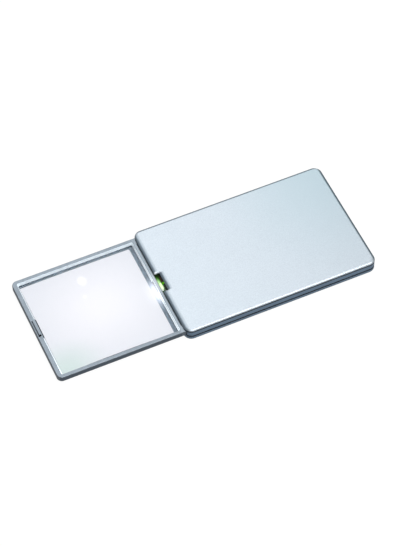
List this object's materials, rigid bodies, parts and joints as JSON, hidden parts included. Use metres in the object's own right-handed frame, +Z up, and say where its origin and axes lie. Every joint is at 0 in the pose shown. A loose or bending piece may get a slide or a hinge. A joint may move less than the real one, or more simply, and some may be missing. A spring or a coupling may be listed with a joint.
{
  "type": "slide-out pocket magnifier",
  "caption": "Card-sized illuminated magnifier: a framed clear lens slides out of one end of a flat silver case, with a lamp at the lens's inner edge.",
  "frame": {"origin": "centre of the case's flat underside", "axes": "+X along the slide, from the mouth towards the closed end of the case; +Y to the back of the case; +Z up, out of the silver cover"},
  "size_m": [0.1418, 0.056, 0.0061],
  "materials": {
    "silver_lacquer": "fine metallic silver lacquer, satin",
    "case_grey": "satin moulded blue-grey",
    "frame_grey": "satin grey with a metallic lacquer",
    "dark_grey": "matt moulded",
    "clear_acrylic": "clear, optically polished",
    "board_green": "solder-masked glass-fibre board",
    "lamp_white": "white lamp body",
    "component_black": "moulded epoxy",
    "ferrite": "dark brown ferrite",
    "steel": "bright steel",
    "spring_metal": "nickel-plated spring sheet",
    "copper": "thin bright copper alloy",
    "foam": "black foam",
    "glide_tape": "white low-friction tape"
  },
  "bodies": {
    "case": {"top_cover": "silver_lacquer", "chassis": "case_grey", "base_cover": "case_grey", "case_screw_1": "steel", "case_screw_2": "steel", "case_screw_3": "steel", "case_screw_4": "steel", "coin_cell": "steel", "positive_contact": "spring_metal", "negative_contact": "spring_metal", "positive_strip": "copper", "negative_strip": "copper", "cell_pad": "foam", "front_glide_strip": "glide_tape", "back_glide_strip": "glide_tape"},
    "slider": {"lens_frame": "frame_grey", "lens": "clear_acrylic", "lens_retainer": "dark_grey", "light_window": "clear_acrylic", "circuit_board": "board_green", "lamp": "lamp_white", "driver_chip": "component_black", "inductor": "ferrite", "resistor": "component_black", "front_board_screw": "steel", "back_board_screw": "steel", "negative_wiper": "spring_metal", "positive_wiper": "spring_metal"},
    "cap": {"battery_cap": "case_grey"}
  },
  "joints": [
    {"name": "lens_slide", "type": "slide", "parent": "case", "child": "slider", "axis": [1, 0, 0], "range_m": [0, 0.0553]},
    {"name": "cap_turn", "type": "hinge", "parent": "case", "child": "cap", "pos_m": [0.0306, 0, 0.001], "axis": [0, 0, -1], "range_deg": [0, 90]}
  ]
}
